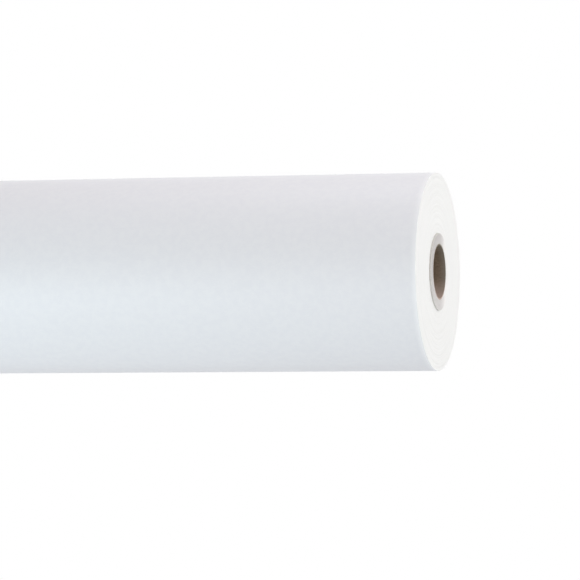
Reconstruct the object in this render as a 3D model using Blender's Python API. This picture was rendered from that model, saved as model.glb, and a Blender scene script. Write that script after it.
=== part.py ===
"""Backdrop paper roll: a wide web of background paper wound on a spiral-wound paperboard core.

The roll lies along X, with the origin on its axis and half way along it. Places round the axis are given in
turns of the winding. Turn 0 is the leading edge of the paper and the turns before it are negative, so -1 is the
same place one layer further in. The paper comes up the front, over the crown and down the back, where three
tabs of tape hold its leading edge. The last stretch of the paper, the tail, lifts off the roll on the tail hinge.
"""

import math

import bmesh
import bpy
from mathutils import Matrix, Vector

# Paper web
WEB_WIDTH = 1.350
ROLL_DIAMETER = 0.1872
PAPER_THICKNESS = 0.00025

# Core: a kraft liner, board plies and a light outer ply, each a strip wound in a spiral on the one below
CORE_BORE = 0.0508
CORE_WALL = 0.0110
CORE_PROUD = 0.0015  # the core stands out past the paper by this much at each end
LINER_THICKNESS = 0.0008
OUTER_PLY_THICKNESS = 0.0008
BOARD_PLIES = 6
PLY_TURNS = 5  # turns that a ply makes from one end of the core to the other
PLY_SEAM = 0.0005  # open butt seam between two turns of a ply, measured along the axis
LINER_SEAM_DEG = 200  # where the liner's seam starts at the left end
SEAM_STAGGER_DEG = 130  # from the seam of one ply to that of the next

# Tail: the leading end of the paper
LEADING_EDGE_DEG = 105  # from the crown towards the back
TAIL_DEG = 75  # arc of the tail, from its hinge to the leading edge
TAIL_LAP_DEG = 15  # arc of the tail that lies on the outer turn

# Closing tape: tabs across the leading edge
TAPE_TAB_WIDTH = 0.024
TAPE_TAB_LENGTH = 0.060
TAPE_TAB_THICKNESS = 0.00015
TAPE_TAB_INSET = 0.090  # from the side of the web to the middle of the outer tabs

# Start tape: a double-sided strip between the core and the first turn
START_TAPE_WIDTH = 0.025
START_TAPE_THICKNESS = 0.0002
START_TAPE_INSET = 0.005  # from the side of the web to the end of the strip
START_TAPE_DEG = 250
START_TAPE_RAMP_DEG = 12  # arc in which the paper climbs onto the strip, in the half away from it

SEAT_GAP = 0.0003  # between pieces that touch
WEB_FACETS = 72
CORE_FACETS = 32

BORE_RADIUS = CORE_BORE / 2
LINER_RADIUS = BORE_RADIUS + LINER_THICKNESS
CORE_RADIUS = BORE_RADIUS + CORE_WALL
OUTER_PLY_INNER_RADIUS = CORE_RADIUS - OUTER_PLY_THICKNESS
BOARD_PLY_THICKNESS = (OUTER_PLY_INNER_RADIUS - LINER_RADIUS - SEAT_GAP) / BOARD_PLIES - SEAT_GAP
CORE_LENGTH = WEB_WIDTH + 2 * CORE_PROUD
ROLL_RADIUS = ROLL_DIAMETER / 2
PITCH = PAPER_THICKNESS + SEAT_GAP  # what one turn of paper adds to the radius
SEAT_GAP_TURN = SEAT_GAP / (math.tau * ROLL_RADIUS)
TAIL_ROOT_TURN = -TAIL_DEG / 360
WEB_STEP_TURN = -1 - TAIL_LAP_DEG / 360  # where the outer turn leaves the wound web
START_TAPE_TURN = (START_TAPE_DEG - LEADING_EDGE_DEG) / 360
START_TAPE_TURNS = START_TAPE_WIDTH / (math.tau * CORE_RADIUS)  # the arc that the strip covers


def material(name, colour, roughness):
    """A dull, non-metallic finish."""
    made = bpy.data.materials.new(name)
    made.use_nodes = True
    shader = made.node_tree.nodes["Principled BSDF"]
    shader.inputs["Base Color"].default_value = (*colour, 1)
    shader.inputs["Roughness"].default_value = roughness
    shader.inputs["Metallic"].default_value = 0
    made.diffuse_color = (*colour, 1)
    return made


def around(turn, radius):
    """The point at this radius, at a turn of the winding."""
    angle = math.tau * turn + math.radians(LEADING_EDGE_DEG)
    return Vector((0, radius * math.sin(angle), radius * math.cos(angle)))


def on_facets(turn, radius_at, facets):
    """The point at a turn on a many-sided roll, whose corners lie at radius_at and whose sides are flat."""
    corner = math.floor(turn * facets)
    start, end = (around(k / facets, radius_at(k / facets)) for k in (corner, corner + 1))
    return start.lerp(end, turn * facets - corner)


def facet_lines(first, last, facets):
    """The turns at which the roll's corners cross the stretch between two turns."""
    margin = 1e-4
    return [k / facets for k in range(math.ceil(first * facets + margin), math.ceil(last * facets - margin))]


def new_object(name, bm, finish, parent):
    """Turns the bmesh, given in the roll's own axes, into a smooth-shaded object under its parent empty."""
    bmesh.ops.recalc_face_normals(bm, faces=bm.faces)
    if bm.calc_volume(signed=True) < 0:  # a thin curved sheet can come out facing inwards
        bmesh.ops.reverse_faces(bm, faces=bm.faces)
    bmesh.ops.translate(bm, verts=bm.verts, vec=-parent.location)
    mesh = bpy.data.meshes.new(name)
    bm.to_mesh(mesh)
    bm.free()
    mesh.shade_smooth()
    mesh.set_sharp_from_angle(angle=math.radians(30))
    mesh.materials.append(finish)
    made = bpy.data.objects.new(name, mesh)
    made.parent = parent
    bpy.context.scene.collection.objects.link(made)
    return made


def thickened(bm, vector):
    """Closes a sheet of faces into a solid by sweeping it along a vector, and returns the moved vertices."""
    swept = bmesh.ops.extrude_face_region(bm, geom=bm.faces[:], use_keep_orig=True)
    moved = [item for item in swept["geom"] if isinstance(item, bmesh.types.BMVert)]
    bmesh.ops.translate(bm, verts=moved, vec=vector)
    return moved


def rolled_sheet(name, outline, inner_at, thickness, facets, finish, parent):
    """A sheet cut flat to an outline of (turn, x) corners, then rolled up on the radius inner_at."""
    bm = bmesh.new()
    bm.faces.new([bm.verts.new((turn, x, 0)) for turn, x in outline])
    turns = [turn for turn, _ in outline]
    for line in facet_lines(min(turns), max(turns), facets):
        whole = bm.verts[:] + bm.edges[:] + bm.faces[:]
        bmesh.ops.bisect_plane(bm, geom=whole, plane_co=(line, 0, 0), plane_no=(1, 0, 0))
    thickened(bm, (0, 0, thickness))
    for vert in bm.verts:
        turn, x, height = vert.co
        vert.co = on_facets(turn, lambda at: inner_at(at) + height, facets)
        vert.co.x = x
    return new_object(name, bm, finish, parent)


def spiral_ply(name, inner_radius, thickness, seam_deg, finish, parent):
    """A strip wound round the core at a slant, edge to edge with itself and cut square with the core's ends."""
    end = CORE_LENGTH / 2
    lead = CORE_LENGTH / PLY_TURNS
    start = (seam_deg - LEADING_EDGE_DEG) / 360
    width = 1 - PLY_SEAM / lead
    outline = [
        (start, -end),
        (start + PLY_TURNS, end),
        (start + PLY_TURNS - width, end),
        (start - width, -end),
    ]
    return rolled_sheet(name, outline, lambda turn: inner_radius, thickness, CORE_FACETS, finish, parent)


def web_surface(turn):
    """Radius of the paper's outer side: a spiral that ends at the leading edge."""
    return ROLL_RADIUS + PITCH * turn


def web_underside(turn):
    return web_surface(turn) - PAPER_THICKNESS


def web_bore(turn):
    """Radius of the first turn's inner side: on the core, and raised where it lies on the start tape."""
    from_middle = (turn - START_TAPE_TURN + 0.5) % 1 - 0.5
    to_end = abs(from_middle) - START_TAPE_TURNS / 2
    ramp = START_TAPE_RAMP_DEG / 360
    raised = min(1, max(0, 2 - 2 * to_end / ramp))
    return CORE_RADIUS + SEAT_GAP + raised * (START_TAPE_THICKNESS + SEAT_GAP)


def tab_underside(turn):
    """Radius of a closing tab's sticky side: on the tail, then one layer down on the outer turn."""
    lands = 1.5 / WEB_FACETS
    return web_surface(turn if turn < lands else turn - 1) + SEAT_GAP


def wound_web(name, finish, parent):
    """The turns of paper but the last, as one ring whose outer side is a spiral with a step of one layer."""
    last = WEB_STEP_TURN
    turns = [last - 1, *facet_lines(last - 1, last, WEB_FACETS), last]
    bm = bmesh.new()
    inner = [bm.verts.new(on_facets(turn, web_bore, WEB_FACETS)) for turn in turns[:-1]]
    outer = [bm.verts.new(on_facets(turn, web_surface, WEB_FACETS)) for turn in turns]
    for i in range(len(inner) - 1):
        bm.faces.new((inner[i], outer[i], outer[i + 1], inner[i + 1]))
    bm.faces.new((inner[-1], outer[-2], outer[-1], outer[0], inner[0]))
    bmesh.ops.translate(bm, verts=bm.verts, vec=(-WEB_WIDTH / 2, 0, 0))
    thickened(bm, (WEB_WIDTH, 0, 0))
    return new_object(name, bm, finish, parent)


def web_sheet(name, first, last, finish, parent):
    """A stretch of the paper at its full width."""
    end = WEB_WIDTH / 2
    outline = [(first, -end), (last, -end), (last, end), (first, end)]
    return rolled_sheet(name, outline, web_underside, PAPER_THICKNESS, WEB_FACETS, finish, parent)


def closing_tab(name, middle, finish, parent):
    """A tab of tape, half on the tail and half on the outer turn."""
    half_width = TAPE_TAB_WIDTH / 2
    half_length = TAPE_TAB_LENGTH / 2 / (math.tau * ROLL_RADIUS)
    outline = [
        (-half_length, middle - half_width),
        (half_length, middle - half_width),
        (half_length, middle + half_width),
        (-half_length, middle + half_width),
    ]
    return rolled_sheet(name, outline, tab_underside, TAPE_TAB_THICKNESS, WEB_FACETS, finish, parent)


def start_tape(name, finish, parent):
    end = WEB_WIDTH / 2 - START_TAPE_INSET
    first = START_TAPE_TURN - START_TAPE_TURNS / 2
    last = START_TAPE_TURN + START_TAPE_TURNS / 2
    outline = [(first, -end), (last, -end), (last, end), (first, end)]
    on_core = CORE_RADIUS + SEAT_GAP
    return rolled_sheet(
        name, outline, lambda turn: on_core, START_TAPE_THICKNESS, WEB_FACETS, finish, parent
    )


def empty(name, place):
    made = bpy.data.objects.new(name, None)
    made.location = place
    bpy.context.scene.collection.objects.link(made)
    return made


for old in list(bpy.data.objects):
    bpy.data.objects.remove(old)

paper = material("backdrop_paper", (0.84, 0.84, 0.86), 0.6)
kraft = material("kraft_liner", (0.20, 0.14, 0.09), 0.8)
board = material("core_board", (0.62, 0.58, 0.55), 0.9)
light_ply = material("core_outer_ply", (0.70, 0.68, 0.65), 0.8)
masking_tape = material("masking_tape", (0.78, 0.69, 0.50), 0.6)
sticky_tape = material("double_sided_tape", (0.80, 0.80, 0.74), 0.4)

roll_axis = empty("roll_axis", (0, 0, 0))
tail_hinge = empty("tail_hinge", on_facets(TAIL_ROOT_TURN, web_surface, WEB_FACETS))

plies = [("core_liner_ply", LINER_THICKNESS, kraft)]
plies += [(f"core_board_ply_{n}", BOARD_PLY_THICKNESS, board) for n in range(1, BOARD_PLIES + 1)]
plies += [("core_outer_ply", OUTER_PLY_THICKNESS, light_ply)]
ply_radius = BORE_RADIUS
for n, (name, thickness, finish) in enumerate(plies):
    spiral_ply(name, ply_radius, thickness, LINER_SEAM_DEG + n * SEAM_STAGGER_DEG, finish, roll_axis)
    ply_radius += thickness + SEAT_GAP
start_tape("start_tape", sticky_tape, roll_axis)
wound_web("wound_web", paper, roll_axis)
web_sheet("outer_turn", WEB_STEP_TURN + SEAT_GAP_TURN, TAIL_ROOT_TURN - SEAT_GAP_TURN, paper, roll_axis)
web_sheet("tail", TAIL_ROOT_TURN, 0, paper, tail_hinge)
outer_tab = WEB_WIDTH / 2 - TAPE_TAB_INSET
for side, place in (("left", -outer_tab), ("middle", 0), ("right", outer_tab)):
    closing_tab(f"closing_tape_{side}", place, masking_tape, tail_hinge)
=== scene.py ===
# The looks of a backdrop paper roll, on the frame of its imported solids: the roll lies along X, +Z is up,
# and the leading edge of its paper is behind, on the +Y side. Angles go from the crown towards the back.
# Lengths are in metres.
import math

import bmesh
import bpy
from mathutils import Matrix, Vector


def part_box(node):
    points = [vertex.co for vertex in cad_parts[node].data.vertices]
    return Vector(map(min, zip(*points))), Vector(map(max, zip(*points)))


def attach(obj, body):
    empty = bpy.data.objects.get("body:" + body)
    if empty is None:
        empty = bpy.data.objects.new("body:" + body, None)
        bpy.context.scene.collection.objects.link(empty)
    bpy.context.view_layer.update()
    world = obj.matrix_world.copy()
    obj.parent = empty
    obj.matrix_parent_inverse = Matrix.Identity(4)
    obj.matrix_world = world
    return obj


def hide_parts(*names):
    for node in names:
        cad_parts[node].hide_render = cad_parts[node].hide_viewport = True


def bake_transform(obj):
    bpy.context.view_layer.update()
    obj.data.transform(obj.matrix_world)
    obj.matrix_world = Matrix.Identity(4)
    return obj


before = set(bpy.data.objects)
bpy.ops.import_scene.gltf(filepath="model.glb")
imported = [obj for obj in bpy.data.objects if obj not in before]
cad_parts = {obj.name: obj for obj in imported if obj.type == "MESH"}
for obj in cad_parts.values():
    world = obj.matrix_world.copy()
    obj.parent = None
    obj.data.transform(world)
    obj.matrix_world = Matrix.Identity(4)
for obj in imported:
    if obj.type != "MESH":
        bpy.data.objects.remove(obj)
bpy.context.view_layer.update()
print("frame: loaded", len(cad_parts), "solids")


class Wire:  # a socket in a node tree; Python's operators on it add Math nodes
    def __init__(self, tree, socket=None):
        self.tree = tree
        self.socket = socket

    def node(self, kind, settings=None, sockets=None, out=0):
        made = self.tree.nodes.new(kind)
        for name, value in (settings or {}).items():
            setattr(made, name, value)
        for name, value in (sockets or {}).items():
            for one in value if isinstance(value, list) else [value]:
                if isinstance(one, Wire):
                    self.tree.links.new(one.socket, made.inputs[name])
                else:
                    made.inputs[name].default_value = one
        return Wire(self.tree, made.outputs[out]) if made.outputs else None

    def also(self, out):  # another output of the same node
        return Wire(self.tree, self.socket.node.outputs[out])

    def math(self, operation, *others):
        return self.node("ShaderNodeMath", {"operation": operation}, dict(enumerate((self, *others))))

    def __add__(self, other):
        return self.math("ADD", other)

    def __sub__(self, other):
        return self.math("SUBTRACT", other)

    def __rsub__(self, other):
        return self.node("ShaderNodeMath", {"operation": "SUBTRACT"}, {0: other, 1: self})

    def __mul__(self, other):
        return self.math("MULTIPLY", other)

    def __truediv__(self, other):
        return self.math("DIVIDE", other)

    def __neg__(self):
        return self * -1

    __radd__ = __add__
    __rmul__ = __mul__

    def clamped(self, low, high):
        return self.math("MAXIMUM", low).math("MINIMUM", high)

    def eased(self, low, high):  # 0 below low, 1 above high, smooth between
        settings = {"interpolation_type": "SMOOTHSTEP"}
        return self.node("ShaderNodeMapRange", settings, {"Value": self, "From Min": low, "From Max": high})


def mixedColours(mask, first, second):  # sockets 6 and 7 of the node are its two colours
    return mask.node("ShaderNodeMix", {"data_type": "RGBA"}, {0: mask, 6: first, 7: second}, out=2)


def noiseAt(place, size, detail=2, stretch=(1, 1, 1), shift=0):  # about 0.5; shift sets patterns apart
    perMetre = tuple(share / size for share in stretch)
    scaled = place.node("ShaderNodeVectorMath", {"operation": "MULTIPLY"}, {0: place, 1: perMetre})
    moved = place.node("ShaderNodeVectorMath", {"operation": "ADD"}, {0: scaled, 1: (shift,) * 3})
    return place.node("ShaderNodeTexNoise", sockets={"Vector": moved, "Scale": 1.0, "Detail": detail})


def noiseAlong(value, detail):  # noise over a single number
    settings = {"noise_dimensions": "1D"}
    return value.node("ShaderNodeTexNoise", settings, {"W": value, "Scale": 1.0, "Detail": detail})


def axesOf(place):  # the x, y and z of a place
    x = place.node("ShaderNodeSeparateXYZ", sockets={0: place})
    return x, x.also("Y"), x.also("Z")


def lengthOf(y, z):
    return (y * y + z * z).math("SQRT")


def newTree(name, inputs):  # a Geometry Nodes tree and the wires of its named inputs
    tree = bpy.data.node_groups.new(name, "GeometryNodeTree")
    tree.interface.new_socket("Geometry", in_out="OUTPUT", socket_type="NodeSocketGeometry")
    for label, kind in inputs.items():
        tree.interface.new_socket(label, in_out="INPUT", socket_type="NodeSocket" + kind)
    first = Wire(tree).node("NodeGroupInput")
    return tree, {label: first.also(label) for label in inputs}


def flatGrid(wire, alongCount, acrossCount):  # a flat grid of one unit each way, its middle at the origin
    sizes = {"Size X": 1.0, "Size Y": 1.0, "Vertices X": alongCount, "Vertices Y": acrossCount}
    return wire.node("GeometryNodeMeshGrid", sockets=sizes)


def unitGrid(wire, alongCount, acrossCount):  # a grid from 0 to 1 each way, one unit thick
    grid = flatGrid(wire, alongCount, acrossCount)
    moved = wire.node("GeometryNodeTransform", sockets={"Geometry": grid, "Translation": (0.5, 0.5, 0)})
    return closedUp(moved, (0, 0, 1), 1.0)


def closedUp(sheet, direction, thickness):  # sweeps a sheet of faces into a closed solid
    offset = sheet.node("ShaderNodeCombineXYZ", sockets=dict(zip("XYZ", direction)))  # unlinked: the normal
    swept = sheet.node(
        "GeometryNodeExtrudeMesh",
        {"mode": "FACES"},
        {"Mesh": sheet, "Offset": offset, "Offset Scale": thickness, "Individual": False},
    )
    back = sheet.node("GeometryNodeFlipFaces", sockets={"Mesh": sheet})
    return merged(sheet.node("GeometryNodeJoinGeometry", sockets={"Geometry": [swept, back]}))


def merged(shape):
    return shape.node("GeometryNodeMergeByDistance", sockets={"Geometry": shape, "Distance": 1e-7})


def pointPlace(wire):  # x, y and z of a point; on the unit grid along, across and height
    return axesOf(wire.node("GeometryNodeInputPosition"))


def aroundAxis(angle, radius, x):
    across = {"Y": radius * angle.math("SINE"), "Z": radius * angle.math("COSINE")}
    return angle.node("ShaderNodeCombineXYZ", sockets={"X": x, **across})


def placed(shape, place):
    return shape.node("GeometryNodeSetPosition", sockets={"Geometry": shape, "Position": place})


def painted(shape, finish, **chosen):
    sockets = {"Geometry": shape, "Material": finish, **chosen}
    return shape.node("GeometryNodeSetMaterial", sockets=sockets)


def endTree(shape, finish, **chosen):
    real = shape.node("GeometryNodeRealizeInstances", sockets={"Geometry": shape})
    shape.node("NodeGroupOutput", sockets={"Geometry": painted(real, finish, **chosen)})


def meshFrom(tree, values):  # the plain mesh that a tree makes of its input values
    host = bpy.data.objects.new("host", bpy.data.meshes.new("host"))
    bpy.context.scene.collection.objects.link(host)
    modifier = host.modifiers.new("tree", "NODES")
    modifier.node_group = tree
    inputs = [item for item in tree.interface.items_tree if item.in_out == "INPUT"]
    identifiers = {item.name: item.identifier for item in inputs}
    for label, value in values.items():
        modifier[identifiers[label]] = value
    evaluated = host.evaluated_get(bpy.context.evaluated_depsgraph_get())
    mesh = bpy.data.meshes.new_from_object(evaluated)
    bpy.data.objects.remove(host)
    return mesh


sharpEdge = math.radians(35)  # edges that turn by more stay sharp


def newPiece(name, mesh, node):  # the piece that stands for a solid
    solid = bmesh.new()
    solid.from_mesh(mesh)
    if solid.calc_volume(signed=True) < 0:
        bmesh.ops.reverse_faces(solid, faces=solid.faces)
        solid.to_mesh(mesh)
    solid.free()
    mesh.shade_smooth()
    mesh.set_sharp_from_angle(angle=sharpEdge)
    made = bpy.data.objects.new(name, mesh)
    bpy.context.scene.collection.objects.link(made)
    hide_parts(node)
    return made


def newFinish(name):
    made = bpy.data.materials.new(name)
    made.use_nodes = True
    made.node_tree.nodes.clear()
    place = Wire(made.node_tree).node("ShaderNodeTexCoord", out="Object")
    return made, place


def endFinish(place, colour, roughness, height, relief):  # relief is the depth of the bump
    bump = place.node("ShaderNodeBump", sockets={"Strength": 1.0, "Distance": relief, "Height": height})
    shader = place.node(
        "ShaderNodeBsdfPrincipled", sockets={"Base Color": colour, "Roughness": roughness, "Normal": bump}
    )
    place.node("ShaderNodeOutputMaterial", sockets={"Surface": shader})


def cornersOf(node):  # distance from the roll's axis and angle of each corner of a solid
    corners = [corner.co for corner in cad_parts[node].data.vertices]
    return [(math.hypot(c.y, c.z), math.atan2(c.y, c.z) % math.tau) for c in corners]


def ringOf(node):  # least and greatest distance from the axis
    distances = [distance for distance, _ in cornersOf(node)]
    return min(distances), max(distances)


def anglesOf(node):  # least and greatest angle
    angles = [angle for _, angle in cornersOf(node)]
    return min(angles), max(angles)


coreRadius = ringOf("core_outer_ply")[1]
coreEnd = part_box("core_liner_ply")[1].x
rollRadius = ringOf("tail")[1]
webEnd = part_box("wound_web")[1].x
hingeAngle, edgeAngle = anglesOf("tail")


paperLook = {
    "white": (0.845, 0.845, 0.855, 1),
    "shade": (0.80, 0.80, 0.825, 1),  # the thinner spots of the sheet
    "shadeShare": 0.45,
    # painted highlight along the cut edges of the sheet
    "edgePaintedHighlight": (0.95, 0.95, 0.945, 1),
    "edgeHighlightShare": 0.7,
    "edgeHighlightReach": 0.006,  # how far in from its cut edge the painted highlight makes the paper lighter
    "cloudSize": 0.006,
    "fibreSize": 0.0009,
    "grainSize": 0.00035,
    "relief": 0.00003,
    "roughness": 0.55,
    "roughnessSpread": 0.2,
}


def makeBackdropPaper():
    look = paperLook
    finish, place = newFinish("backdropPaper")
    clouds = noiseAt(place, look["cloudSize"], 4)
    fibres = noiseAt(place, look["fibreSize"], 3, stretch=(0.4, 1, 1), shift=7)
    grain = noiseAt(place, look["grainSize"], 2, shift=3)
    mottle = (clouds * 0.65 + fibres * 0.35).eased(0.38, 0.62)
    body = mixedColours(mottle * look["shadeShare"], look["white"], look["shade"])
    # painted highlight: the side of the sheet is lighter near its cut edges
    nearEdge = axesOf(place)[0].math("ABSOLUTE").eased(webEnd - look["edgeHighlightReach"], webEnd)
    colour = mixedColours(nearEdge * look["edgeHighlightShare"], body, look["edgePaintedHighlight"])
    roughness = look["roughness"] + (fibres - 0.5) * look["roughnessSpread"]
    endFinish(place, colour, roughness, grain * 0.6 + fibres * 0.4, look["relief"])
    return finish


coreLook = {
    "kraft": (0.28, 0.21, 0.145, 1),
    "kraftDark": (0.172, 0.124, 0.080, 1),
    "kraftDeepShade": (0.115, 0.082, 0.053, 1),
    "deepShadeShare": 0.6,
    "deepShadeReach": (0.0085, 0.013),  # where painted shade deep in the bore sets in, from its mouth
    "kraftMouthWearAndLight": (0.27, 0.24, 0.19, 1),  # the fuzzy mouth of the bore: wear and painted light together
    "wornShare": 0.85,
    "wornReach": 0.008,
    "mouthPaintedLightSide": (-0.022, -0.004),  # where it sets in, in Y: the painted light falls only on the back side of the bore
    "boreLowerPaintedLight": (0.54, 0.42, 0.355, 1),  # painted light on the lower side of the bore
    "boreLowerLightShare": 0.95,
    "boreLowerLightReach": (0.003, 0.025),  # below the axis
    "patchSize": 0.004,
    "patchReach": 0.004,  # how far the edges of the painted deep shade, the worn and lit mouth and the painted light below wander
    "board": (0.61, 0.585, 0.57, 1),
    "boardDark": (0.485, 0.46, 0.445, 1),
    "boardPaintedLight": (0.90, 0.89, 0.865, 1),  # painted light: paler board on the back side of the ring
    "paleReach": (0.003, 0.026),  # where that painted light sets in, in Y
    "paleShare": 0.66,
    "fadeReach": (-0.04, 0.01),  # fainter painted light round it, at a slant to the back and down
    "fadeShare": 0.3,
    "raggedSize": 0.006,
    "raggedReach": 0.012,
    "outerPly": (0.66, 0.64, 0.61, 1),
    "outerPlyDark": (0.55, 0.53, 0.50, 1),
    "plyLine": 0.0007,  # thickness of one real ply of the board
    "lineShare": 0.45,
    "fibreSize": 0.0012,
    "speckSize": 0.0005,
    "blotchSize": 0.018,
    "relief": 0.00012,
    "roughness": 0.82,
    "roughnessSpread": 0.2,
}


def boardFibres(place):
    fibres = noiseAt(place, coreLook["fibreSize"], 4, stretch=(0.5, 1, 1))
    specks = noiseAt(place, coreLook["speckSize"], 2, shift=5)
    blotches = noiseAt(place, coreLook["blotchSize"], 3, shift=9)
    return fibres, specks, (fibres * 0.5 + specks * 0.25 + blotches * 0.25).eased(0.36, 0.64)


def paintedRingLight(place, colour):  # painted light: paler on the back half of the ring
    look = coreLook
    _, y, z = axesOf(place)
    ragged = y + (noiseAt(place, look["raggedSize"], 3, shift=4) - 0.5) * look["raggedReach"]
    faint = (ragged - z * 0.5).eased(*look["fadeReach"]) * look["fadeShare"]
    pale = ragged.eased(*look["paleReach"]) * look["paleShare"]
    return mixedColours(faint + pale, colour, look["boardPaintedLight"])


def endBoard(place, colour, fibres, specks):
    roughness = coreLook["roughness"] + (fibres - 0.5) * coreLook["roughnessSpread"]
    endFinish(place, colour, roughness, fibres * 0.6 + specks * 0.4, coreLook["relief"])


def makeKraftLiner():
    look = coreLook
    finish, place = newFinish("kraftLiner")
    fibres, specks, shade = boardFibres(place)
    x, y, z = axesOf(place)
    patchy = noiseAt(place, look["patchSize"], 3, shift=2) - 0.5
    inward = coreEnd - x.math("ABSOLUTE") + patchy * look["patchReach"]
    # painted shade: the kraft darker deep inside the bore
    paintedDeepShade = inward.eased(*look["deepShadeReach"]) * look["deepShadeShare"]
    body = mixedColours(shade, mixedColours(paintedDeepShade, look["kraft"], look["kraftDeepShade"]), look["kraftDark"])
    # the mouth of the bore paler: partly wear, partly painted light on its back side
    mouthWearAndLight = (1 - inward.eased(0, look["wornReach"])) * y.eased(*look["mouthPaintedLightSide"]) * look["wornShare"]
    # painted light: paler on the lower side of the bore
    boreLowerLit = (patchy * (2 * look["patchReach"]) - z).eased(*look["boreLowerLightReach"]) * look["boreLowerLightShare"]
    colour = mixedColours(boreLowerLit, mixedColours(mouthWearAndLight, body, look["kraftMouthWearAndLight"]), look["boreLowerPaintedLight"])
    endBoard(place, colour, fibres, specks)
    return finish


def makeCoreBoard():
    finish, place = newFinish("coreBoard")
    fibres, specks, shade = boardFibres(place)
    _, y, z = axesOf(place)
    lines = noiseAlong(lengthOf(y, z) / coreLook["plyLine"] * 2, 1).eased(0.35, 0.65)
    lined = shade * (1 - coreLook["lineShare"]) + lines * coreLook["lineShare"]
    colour = mixedColours(lined, coreLook["board"], coreLook["boardDark"])
    endBoard(place, paintedRingLight(place, colour), fibres, specks)
    return finish


def makeOuterPly():
    finish, place = newFinish("coreOuterPly")
    fibres, specks, shade = boardFibres(place)
    colour = mixedColours(shade, coreLook["outerPly"], coreLook["outerPlyDark"])
    endBoard(place, paintedRingLight(place, colour), fibres, specks)
    return finish


tapeLook = {
    "masking": {
        "light": (0.79, 0.705, 0.53, 1), "dark": (0.72, 0.625, 0.44, 1),
        "stretch": (0.12, 1, 1),  # its creases run along X
        "relief": 0.00008,
    },
    "doubleSided": {
        "light": (0.80, 0.80, 0.74, 1), "dark": (0.70, 0.70, 0.62, 1),
        "stretch": (1, 1, 1),
        "relief": 0.00002,
    },
    "creaseSize": 0.0005,
    "roughness": 0.55,
    "roughnessSpread": 0.3,
}


def makeTapeFinish(kind):
    look = tapeLook[kind]
    finish, place = newFinish(kind + "Tape")
    creases = noiseAt(place, tapeLook["creaseSize"], 2, stretch=look["stretch"])
    colour = mixedColours(creases.eased(0.35, 0.65), look["light"], look["dark"])
    roughness = tapeLook["roughness"] + (creases - 0.5) * tapeLook["roughnessSpread"]
    endFinish(place, colour, roughness, creases, look["relief"])
    return finish


paperFinish = makeBackdropPaper()
kraftFinish = makeKraftLiner()
boardFinish = makeCoreBoard()
outerPlyFinish = makeOuterPly()
maskingFinish = makeTapeFinish("masking")
doubleSidedFinish = makeTapeFinish("doubleSided")
print("finishes: made")


core = {
    "leaves": 2,  # real strips in each board ply
    "turns": 5,
    "steps": 144,  # for one turn
    "glueLine": 0.00004,
    "seamWidth": 0.0004,
    "firstSeam": 200,  # degrees
    "seamStagger": 77,
    "wander": 0.0002,  # unevenness of the saw cut at the ends
    "wanderSize": 0.009,
    "seedStep": 0.37,  # from one strip to the next
}


def makePlyTree():
    tree, given = newTree("spiralPly", {
        "Inner Radius": "Float", "Thickness": "Float", "Length": "Float", "Turns": "Int", "Steps": "Int",
        "Seam Angle": "Float", "Seam Width": "Float", "Wander": "Float", "Seed": "Float",
        "Finish": "Material",
    })
    turns, length = given["Turns"], given["Length"]
    solid = unitGrid(turns, (turns + 1) * given["Steps"] + 1, 2)
    along, across, height = pointPlace(turns)
    turn = along * (turns + 1)
    lead = length / turns
    angle = given["Seam Angle"] + turn * math.tau
    rim = aroundAxis(angle, given["Inner Radius"], given["Seed"])
    half = length / 2 - noiseAt(rim, core["wanderSize"], 3) * given["Wander"]
    strip = lead * (turn - 1) + given["Seam Width"] + across * (lead - given["Seam Width"]) - length / 2
    radius = given["Inner Radius"] + height * given["Thickness"]
    wound = placed(solid, aroundAxis(angle, radius, strip.clamped(-half, half)))
    endTree(merged(wound), given["Finish"])
    return tree


def makePly(tree, node, outer, leaves, firstStrip, finish):  # one ply, of one or more strips
    inner = ringOf(node)[0]
    leafPitch = (outer - inner + core["glueLine"]) / leaves
    joined = bmesh.new()
    for leaf in range(leaves):
        strip = firstStrip + leaf
        mesh = meshFrom(tree, {
            "Inner Radius": inner + leaf * leafPitch,
            "Thickness": leafPitch - core["glueLine"],
            "Length": 2 * coreEnd,
            "Turns": core["turns"],
            "Steps": core["steps"],
            "Seam Angle": math.radians(core["firstSeam"] + strip * core["seamStagger"]),
            "Seam Width": core["seamWidth"],
            "Wander": core["wander"],
            "Seed": strip * core["seedStep"],
            "Finish": finish,
        })
        joined.from_mesh(mesh)
    joined.to_mesh(mesh)
    joined.free()
    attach(newPiece(node + "_strip", mesh, node), "roll")


def makeCore():
    tree = makePlyTree()
    boardPlies = sorted(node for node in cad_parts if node.startswith("core_board_ply"))
    plies = [("core_liner_ply", 1, kraftFinish, "kraft_liner")]
    plies += [(node, core["leaves"], boardFinish, "core_board") for node in boardPlies]
    plies += [("core_outer_ply", 1, outerPlyFinish, "core_outer_ply")]
    outers = [ringOf(node)[0] - core["glueLine"] for node, *_ in plies[1:]] + [coreRadius]
    strips = 0
    for (node, leaves, finish, slotName), outer in zip(plies, outers):
        makePly(tree, node, outer, leaves, strips, finish)
        strips += leaves
    print("core: wound from", strips, "strips")


makeCore()


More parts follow.
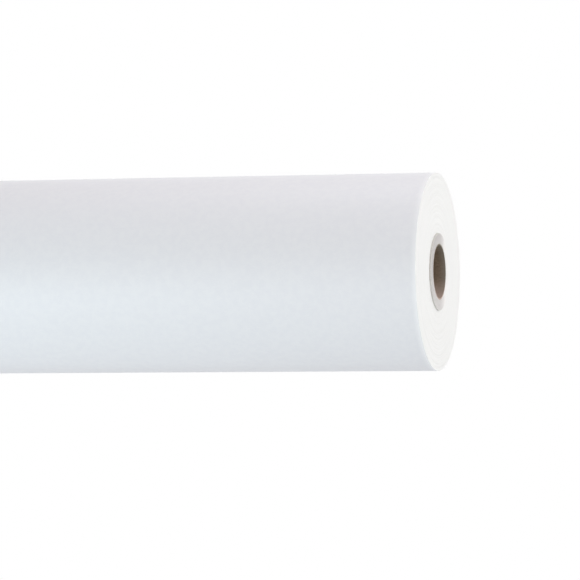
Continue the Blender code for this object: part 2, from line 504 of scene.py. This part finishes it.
winding = {
    "paper": 0.00025,  # thickness
    "slack": 0.00003,  # air between two turns
    "coreGap": 0.00003,
    "steps": 192,  # for one turn
    "tightTurns": (0.5, 4.0),  # the turns in which the air next to the core opens up
    "tightShare": 0.2,  # of the pitch, at the core
    "shift": 0.00018,  # how far bands of turns stand back
    "bandTurns": 15.0,
    "flushTurns": 12.0,  # outer turns in which the bands fade out
    "bump": 0.00014,  # height of the first turns over the start tape
    "bumpReach": 9,  # turns until that bump is gone
    "white": (0.885, 0.888, 0.868, 1),
    "shade": (0.80, 0.802, 0.78, 1),
    "shadeShare": 0.35,
    "gapShadeShare": 0.3,  # of that shade, painted as shade in the air between two turns
    "bandSize": 0.0021,
    "relief": 0.00003,  # between single turns
    "roughness": 0.75,
    "roughnessSpread": 0.15,
}
webInner = coreRadius + winding["coreGap"]
stepAngle = max(cornersOf("wound_web"))[1]  # where the outer turn leaves the web
lapTurns = (edgeAngle - stepAngle) / math.tau
turnCount = round((rollRadius - webInner) / (winding["paper"] + winding["slack"]) - 1 - lapTurns)
pitch = (rollRadius - webInner) / (turnCount + 1 + lapTurns)
print("paper:", turnCount, "turns of", round(pitch * 1000, 4), "mm")


def makeWoundPaperEdge():  # the cut edges of all the turns, side by side at the ends of the roll
    finish, place = newFinish("woundPaperEdge")
    _, y, z = axesOf(place)
    radius = lengthOf(y, z)
    part = ((y.math("ARCTAN2", z) - stepAngle) / math.tau).math("FRACT")
    level = (radius - webInner) / pitch - part
    turn = level.math("FLOOR")
    gap = (level - turn - 0.5).math("ABSOLUTE").eased(0.3, 0.5)
    single = place.node("ShaderNodeTexWhiteNoise", {"noise_dimensions": "1D"}, {"W": turn})
    heading = {"Y": y / radius * 3, "Z": z / radius * 3}
    spot = place.node("ShaderNodeCombineXYZ", sockets={"X": turn * 0.37, **heading})
    arcs = noiseAt(spot, 1, 2)
    bands = noiseAlong(radius / winding["bandSize"], 2)
    mottle = (bands * 0.4 + arcs * 0.4 + single * 0.2).eased(0.36, 0.66)
    # painted shade in the air between two turns
    shade = mottle * winding["shadeShare"] + gap * winding["gapShadeShare"]
    colour = mixedColours(shade, winding["white"], winding["shade"])
    roughness = winding["roughness"] + (arcs - 0.5) * winding["roughnessSpread"]
    endFinish(place, colour, roughness, (1 - gap) * 0.6 + single * 0.4, winding["relief"])
    return finish


def makeWindingTree():
    tree, given = newTree("windings", {
        "Inner Radius": "Float", "Pitch": "Float", "Turns": "Int", "Steps": "Int", "End Angle": "Float",
        "Width": "Float", "Tight From": "Float", "Tight To": "Float", "Tight Share": "Float",
        "Shift": "Float", "Band Turns": "Float", "Flush Turns": "Float", "Bump": "Float",
        "Bump Reach": "Float", "Bump Angle": "Float", "Bump Arc": "Float", "Seed": "Float",
        "Side Finish": "Material", "End Finish": "Material",
    })
    turns, steps, inner, width = (given[label] for label in ("Turns", "Steps", "Inner Radius", "Width"))

    # one disc of rings, wound up and swept along the roll
    grid = flatGrid(turns, steps + 1, turns)
    along, across, _ = pointPlace(turns)
    step = ((along + 0.5) * steps).math("ROUND")
    level = ((across + 0.5) * (turns - 1)).math("ROUND") + step / steps
    angle = given["End Angle"] + step.math("MODULO", steps) / steps * math.tau
    loosened = level.eased(given["Tight From"], given["Tight To"])
    squeezed = level * (loosened * (1 - given["Tight Share"]) + given["Tight Share"])
    disc = merged(placed(grid, aroundAxis(angle, inner + squeezed * given["Pitch"], width * -0.5)))
    solid = closedUp(disc, (1, 0, 0), width)

    # bands of turns stand back at the ends, and the first turns ride over the start tape
    x, y, z = pointPlace(turns)
    radius = lengthOf(y, z)
    levelAt = (radius - inner) / given["Pitch"]
    angleAt = y.math("ARCTAN2", z)
    side = x.math("SIGN")
    band = noiseAlong(levelAt / given["Band Turns"] + side * 20 + given["Seed"], 2).eased(0.3, 0.7)
    back = band * (turns - levelAt).eased(0, given["Flush Turns"]) * given["Shift"]
    fromTape = (angleAt - given["Bump Angle"] + 3 * math.pi).math("MODULO", math.tau) - math.pi
    overTape = 1 - fromTape.math("ABSOLUTE").eased(given["Bump Arc"] * 0.5, given["Bump Arc"] * 0.9)
    raised = radius + overTape * (1 - levelAt.eased(0, given["Bump Reach"])) * given["Bump"]
    shaped = placed(solid, aroundAxis(angleAt, raised, x - side * back))

    normalX = axesOf(turns.node("GeometryNodeInputNormal"))[0]
    onEnd = normalX.math("ABSOLUTE").math("GREATER_THAN", 0.5)
    endTree(painted(shaped, given["Side Finish"]), given["End Finish"], Selection=onEnd)
    return tree


def makeWindings():
    tapeStart, tapeEnd = anglesOf("start_tape")
    mesh = meshFrom(makeWindingTree(), {
        "Inner Radius": webInner,
        "Pitch": pitch,
        "Turns": turnCount,
        "Steps": winding["steps"],
        "End Angle": stepAngle,
        "Width": 2 * webEnd,
        "Tight From": winding["tightTurns"][0],
        "Tight To": winding["tightTurns"][1],
        "Tight Share": winding["tightShare"],
        "Shift": winding["shift"],
        "Band Turns": winding["bandTurns"],
        "Flush Turns": winding["flushTurns"],
        "Bump": winding["bump"],
        "Bump Reach": winding["bumpReach"],
        "Bump Angle": (tapeStart + tapeEnd) / 2,
        "Bump Arc": tapeEnd - tapeStart,
        "Seed": 4.0,
        "Side Finish": paperFinish,
        "End Finish": makeWoundPaperEdge(),
    })
    piece = newPiece("windings", mesh, "wound_web")
    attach(piece, "roll")
    print("windings:", len(mesh.polygons), "faces")
    return piece


windings = makeWindings()


sheet = {
    "stepsAround": 384,  # for a whole turn
    "stepsAcross": 90,
    "edgeLift": 0.0007,  # between the tapes, at the leading edge
    "liftReach": 0.014,
    "bendReach": 0.045,  # a length from the hinge along the tail; the point there is worked out, but the tail is not bent
}


def middleOf(node):
    low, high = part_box(node)
    return (low.x + high.x) / 2


def makeSheetTree():  # a rolled-up sheet; turn 0 is its edge, and the turns before it are negative
    tree, given = newTree("rolledSheet", {
        "Outer Radius": "Float", "Pitch": "Float", "Thickness": "Float", "Width": "Float",
        "Edge Angle": "Float", "First Turn": "Float", "Last Turn": "Float", "Steps Along": "Int",
        "Steps Across": "Int", "Lift": "Float", "Lift Reach": "Float", "Tape Spacing": "Float",
        "Finish": "Material",
    })
    outer = given["Outer Radius"]
    solid = unitGrid(outer, given["Steps Along"] + 1, given["Steps Across"] + 1)
    along, across, height = pointPlace(outer)
    turn = given["First Turn"] + along * (given["Last Turn"] - given["First Turn"])
    x = (across - 0.5) * given["Width"]
    toEdge = -turn * outer * math.tau
    free = (x / given["Tape Spacing"] * math.pi).math("SINE").math("POWER", 2)
    lift = (1 - toEdge.eased(0, given["Lift Reach"])) * free * given["Lift"]
    radius = outer + turn * given["Pitch"] + (height - 1) * given["Thickness"] + lift
    endTree(placed(solid, aroundAxis(given["Edge Angle"] + turn * math.tau, radius, x)), given["Finish"])
    return tree


sheetTree = makeSheetTree()


def rolledSheet(values):  # the values that differ from those of a plain strip without a lifted edge
    plain = {
        "Pitch": 0.0, "Last Turn": 0.0, "Lift": 0.0, "Lift Reach": sheet["liftReach"],
        "Tape Spacing": middleOf("closing_tape_right"),
    }
    return meshFrom(sheetTree, plain | values)


def makeSheet(node, firstTurn, lastTurn, lift):
    mesh = rolledSheet({
        "Outer Radius": rollRadius,
        "Pitch": pitch,
        "Thickness": winding["paper"],
        "Width": 2 * webEnd,
        "Edge Angle": edgeAngle,
        "First Turn": firstTurn,
        "Last Turn": lastTurn,
        "Steps Along": math.ceil((lastTurn - firstTurn) * sheet["stepsAround"]),
        "Steps Across": sheet["stepsAcross"],
        "Lift": lift,
        "Finish": paperFinish,
    })
    return newPiece(node + "_sheet", mesh, node)


def flatSize(firstTurn, lastTurn):
    middle = rollRadius + pitch * (firstTurn + lastTurn) / 2 - winding["paper"] / 2
    return 2 * webEnd, (lastTurn - firstTurn) * math.tau * middle


tailRootTurn = (hingeAngle - edgeAngle) / math.tau
outerTurnStart = -1 - lapTurns
outerTurn = makeSheet("outer_turn", outerTurnStart, tailRootTurn, 0.0)
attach(outerTurn, "roll")
flatSize(outerTurnStart, tailRootTurn)

tail = makeSheet("tail", tailRootTurn, 0.0, sheet["edgeLift"])
bendAngle = hingeAngle + sheet["bendReach"] / rollRadius
bendEnd = Vector((0, rollRadius * math.sin(bendAngle), rollRadius * math.cos(bendAngle)))
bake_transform(tail)
flatSize(tailRootTurn, 0)
print("sheet: outer turn and tail made")


tab = {
    "thickness": 0.00015,
    "air": 0.00002,  # under the tape
    "ramp": (0.0004, 0.003),  # past the leading edge, where the tape steps down
    "teeth": 20,
    "toothDepth": 0.0006,
    "stepsAlong": 140,
    "crease": 0.00004,
    "creaseSize": 0.0008,
}


def makeTabTree():
    tree, given = newTree("tapeTab", {
        "Radius": "Float", "Pitch": "Float", "Thickness": "Float", "Air": "Float", "Width": "Float",
        "Length": "Float", "Middle": "Float", "Edge Angle": "Float", "Ramp Start": "Float",
        "Ramp End": "Float", "Teeth": "Int", "Tooth Depth": "Float", "Steps Along": "Int",
        "Crease": "Float", "Seed": "Float", "Finish": "Material",
    })
    length = given["Length"]
    solid = unitGrid(length, given["Steps Along"] + 1, given["Teeth"] * 2 + 1)
    along, across, height = pointPlace(length)
    tooth = (across * given["Teeth"]).math("PINGPONG", 0.5) * 2 * given["Tooth Depth"]
    fromEdge = (along - 0.5) * (length - tooth * 2)
    down = fromEdge.eased(given["Ramp Start"], given["Ramp End"]) * given["Pitch"]
    x = given["Middle"] + (across - 0.5) * given["Width"]
    spot = length.node("ShaderNodeCombineXYZ", sockets={"X": x * 0.2, "Y": fromEdge, "Z": given["Seed"]})
    crease = noiseAt(spot, tab["creaseSize"], 2) * given["Crease"] * height
    radius = given["Radius"] - down + given["Air"] + height * given["Thickness"] + crease
    stuck = placed(solid, aroundAxis(given["Edge Angle"] + fromEdge / given["Radius"], radius, x))
    endTree(stuck, given["Finish"])
    return tree


def makeTabs():
    tree = makeTabTree()
    for seed, side in enumerate(("left", "middle", "right")):
        node = "closing_tape_" + side
        low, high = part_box(node)
        first, last = anglesOf(node)
        mesh = meshFrom(tree, {
            "Radius": rollRadius,
            "Pitch": pitch,
            "Thickness": tab["thickness"],
            "Air": tab["air"],
            "Width": high.x - low.x,
            "Length": (last - first) * rollRadius,
            "Middle": middleOf(node),
            "Edge Angle": edgeAngle,
            "Ramp Start": tab["ramp"][0],
            "Ramp End": tab["ramp"][1],
            "Teeth": tab["teeth"],
            "Tooth Depth": tab["toothDepth"],
            "Steps Along": tab["stepsAlong"],
            "Crease": tab["crease"],
            "Seed": float(seed),
            "Finish": maskingFinish,
        })
        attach(newPiece(node + "_tab", mesh, node), "tail")


makeTabs()


startTape = {
    "thickness": 0.0001,
    "air": 0.00003,  # under the strip
    "steps": 24,
}


def makeStartTape():
    low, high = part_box("start_tape")
    first, last = anglesOf("start_tape")
    mesh = rolledSheet({
        "Outer Radius": coreRadius + startTape["air"] + startTape["thickness"],
        "Thickness": startTape["thickness"],
        "Width": high.x - low.x,
        "Edge Angle": last,
        "First Turn": (first - last) / math.tau,
        "Steps Along": startTape["steps"],
        "Steps Across": 2,
        "Finish": doubleSidedFinish,
    })
    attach(newPiece("start_tape_strip", mesh, "start_tape"), "roll")


makeStartTape()
print("tapes: made")


studio = {
    "floorDrop": 1.2,  # of the floor under the roll's axis
    "floorSize": 24,
    "floorColour": (0.76, 0.76, 0.77, 1),
    "floorFade": (1.5, 9.0),  # metres from the roll in which the floor goes over to the white background
    "floorHaze": 0.45,  # share of that white on the floor under the roll
    "ambient": (0.463, 0.461, 0.467, 1),
    "lamps": {  # places, points aimed at and sizes in metres, power in watts
        "overhead": {"place": (0.4, 0.42, 2.36), "aim": (0.45, 0, 0), "size": (1.0, 0.7), "power": 15.3,
                     "colour": (0.93, 0.93, 1.0)},
        "keyHigh": {"place": (1.8, -1.7, 1.7), "aim": (0.675, 0, 0), "size": (1.0, 1.0), "power": 6.6,
                    "colour": (1.0, 0.85, 0.88)},
        "keyFront": {"place": (2.6, -1.2, 0.2), "aim": (0.675, 0, 0), "size": (1.4, 1.4), "power": 14.9,
                     "colour": (1.0, 0.987, 0.987)},
        "keyEnd": {"place": (2.6, 0.6, 0.9), "aim": (0.675, 0, 0), "size": (1.4, 1.4), "power": 16.5,
                   "colour": (0.98, 1.0, 0.995)},
        "lowFront": {"place": (-0.15, -1.16, -0.58), "aim": (0.15, 0, 0), "size": (0.6, 0.4), "power": 6.7,
                     "colour": (0.79, 0.955, 1.0)},
        "backFill": {"place": (-0.2, 2.4, 0.0), "aim": (0, 0, 0), "size": (2.4, 1.4), "power": 12,
                     "colour": (1, 1, 1)},
        "leftFill": {"place": (-2.6, 0.6, 0.5), "aim": (-0.675, 0, 0), "size": (1.4, 1.4), "power": 16,
                     "colour": (1, 1, 1)},
    },
}


def seenRays(wire):  # 1 for rays that show a background, 0 for those that light the object
    rays = wire.node("ShaderNodeLightPath", out="Is Camera Ray")
    return (rays + rays.also("Is Glossy Ray") + rays.also("Is Transmission Ray")).clamped(0, 1)


def makeFloor():
    half = studio["floorSize"] / 2
    mesh = bpy.data.meshes.new("floor")
    corners = [(-half, -half, 0), (half, -half, 0), (half, half, 0), (-half, half, 0)]
    mesh.from_pydata([(x, y, z - studio["floorDrop"]) for x, y, z in corners], [], [(0, 1, 2, 3)])
    floor = bpy.data.objects.new("floor", mesh)
    bpy.context.scene.collection.objects.link(floor)
    finish, place = newFinish("floorPaint")
    flat = place.node("ShaderNodeVectorMath", {"operation": "MULTIPLY"}, {0: place, 1: (1, 1, 0)})
    away = place.node("ShaderNodeVectorMath", {"operation": "LENGTH"}, {0: flat}, out="Value")
    haze = studio["floorHaze"] + away.eased(*studio["floorFade"]) * (1 - studio["floorHaze"])
    paint = place.node("ShaderNodeBsdfDiffuse", sockets={"Color": studio["floorColour"]})
    white = place.node("ShaderNodeEmission", sockets={"Color": (1, 1, 1, 1), "Strength": 1.0})
    shown = place.node("ShaderNodeMixShader", sockets={0: haze * seenRays(place), 1: paint, 2: white})
    clear = place.node("ShaderNodeBsdfTransparent")
    fromBelow = place.node("ShaderNodeNewGeometry", out="Backfacing")
    surface = place.node("ShaderNodeMixShader", sockets={0: fromBelow, 1: shown, 2: clear})
    place.node("ShaderNodeOutputMaterial", sockets={"Surface": surface})
    mesh.materials.append(finish)


def makeWorld():
    world = bpy.data.worlds.new("studioWorld")
    bpy.context.scene.world = world
    world.use_nodes = True
    world.node_tree.nodes.clear()
    wire = Wire(world.node_tree)
    colour = mixedColours(seenRays(wire), studio["ambient"], (1, 1, 1, 1))
    background = wire.node("ShaderNodeBackground", sockets={"Color": colour, "Strength": 1.0})
    wire.node("ShaderNodeOutputWorld", sockets={"Surface": background})


def makeLamps():
    for name, lamp in studio["lamps"].items():
        data = bpy.data.lights.new(name, "AREA")
        data.shape = "RECTANGLE"
        data.size, data.size_y = lamp["size"]
        data.energy = lamp["power"]
        data.color = lamp["colour"]
        made = bpy.data.objects.new(name, data)
        made.location = lamp["place"]
        made.rotation_euler = (Vector(lamp["aim"]) - made.location).to_track_quat("-Z", "Y").to_euler()
        made.visible_camera = False
        bpy.context.scene.collection.objects.link(made)


cameraView = {
    "azimuth": 15.15,  # degrees to the right of the front
    "elevation": -2.4,
    "distance": 3.79,
    "lens": 247.3,  # millimetres, as is the sensor
    "sensor": 36,
    "clipEnd": 100,
    "fromEnd": 0.146,  # the point looked at lies this far in from the end of the core
    "below": 0.0156,  # and this far below the axis
}


def makeCamera():
    around, up = math.radians(cameraView["azimuth"]), math.radians(cameraView["elevation"])
    back = Vector((math.sin(around) * math.cos(up), -math.cos(around) * math.cos(up), math.sin(up)))
    data = bpy.data.cameras.new("camera")
    data.sensor_width = cameraView["sensor"]
    data.lens = cameraView["lens"]
    data.clip_end = cameraView["clipEnd"]
    camera = bpy.data.objects.new("camera", data)
    target = Vector((coreEnd - cameraView["fromEnd"], 0, -cameraView["below"]))
    camera.location = target + back * cameraView["distance"]
    camera.rotation_euler = (-back).to_track_quat("-Z", "Y").to_euler()
    bpy.context.scene.collection.objects.link(camera)
    bpy.context.scene.camera = camera


makeFloor()
makeWorld()
makeLamps()
makeCamera()
bpy.context.scene.view_settings.view_transform = "Standard"
print("studio: lit")
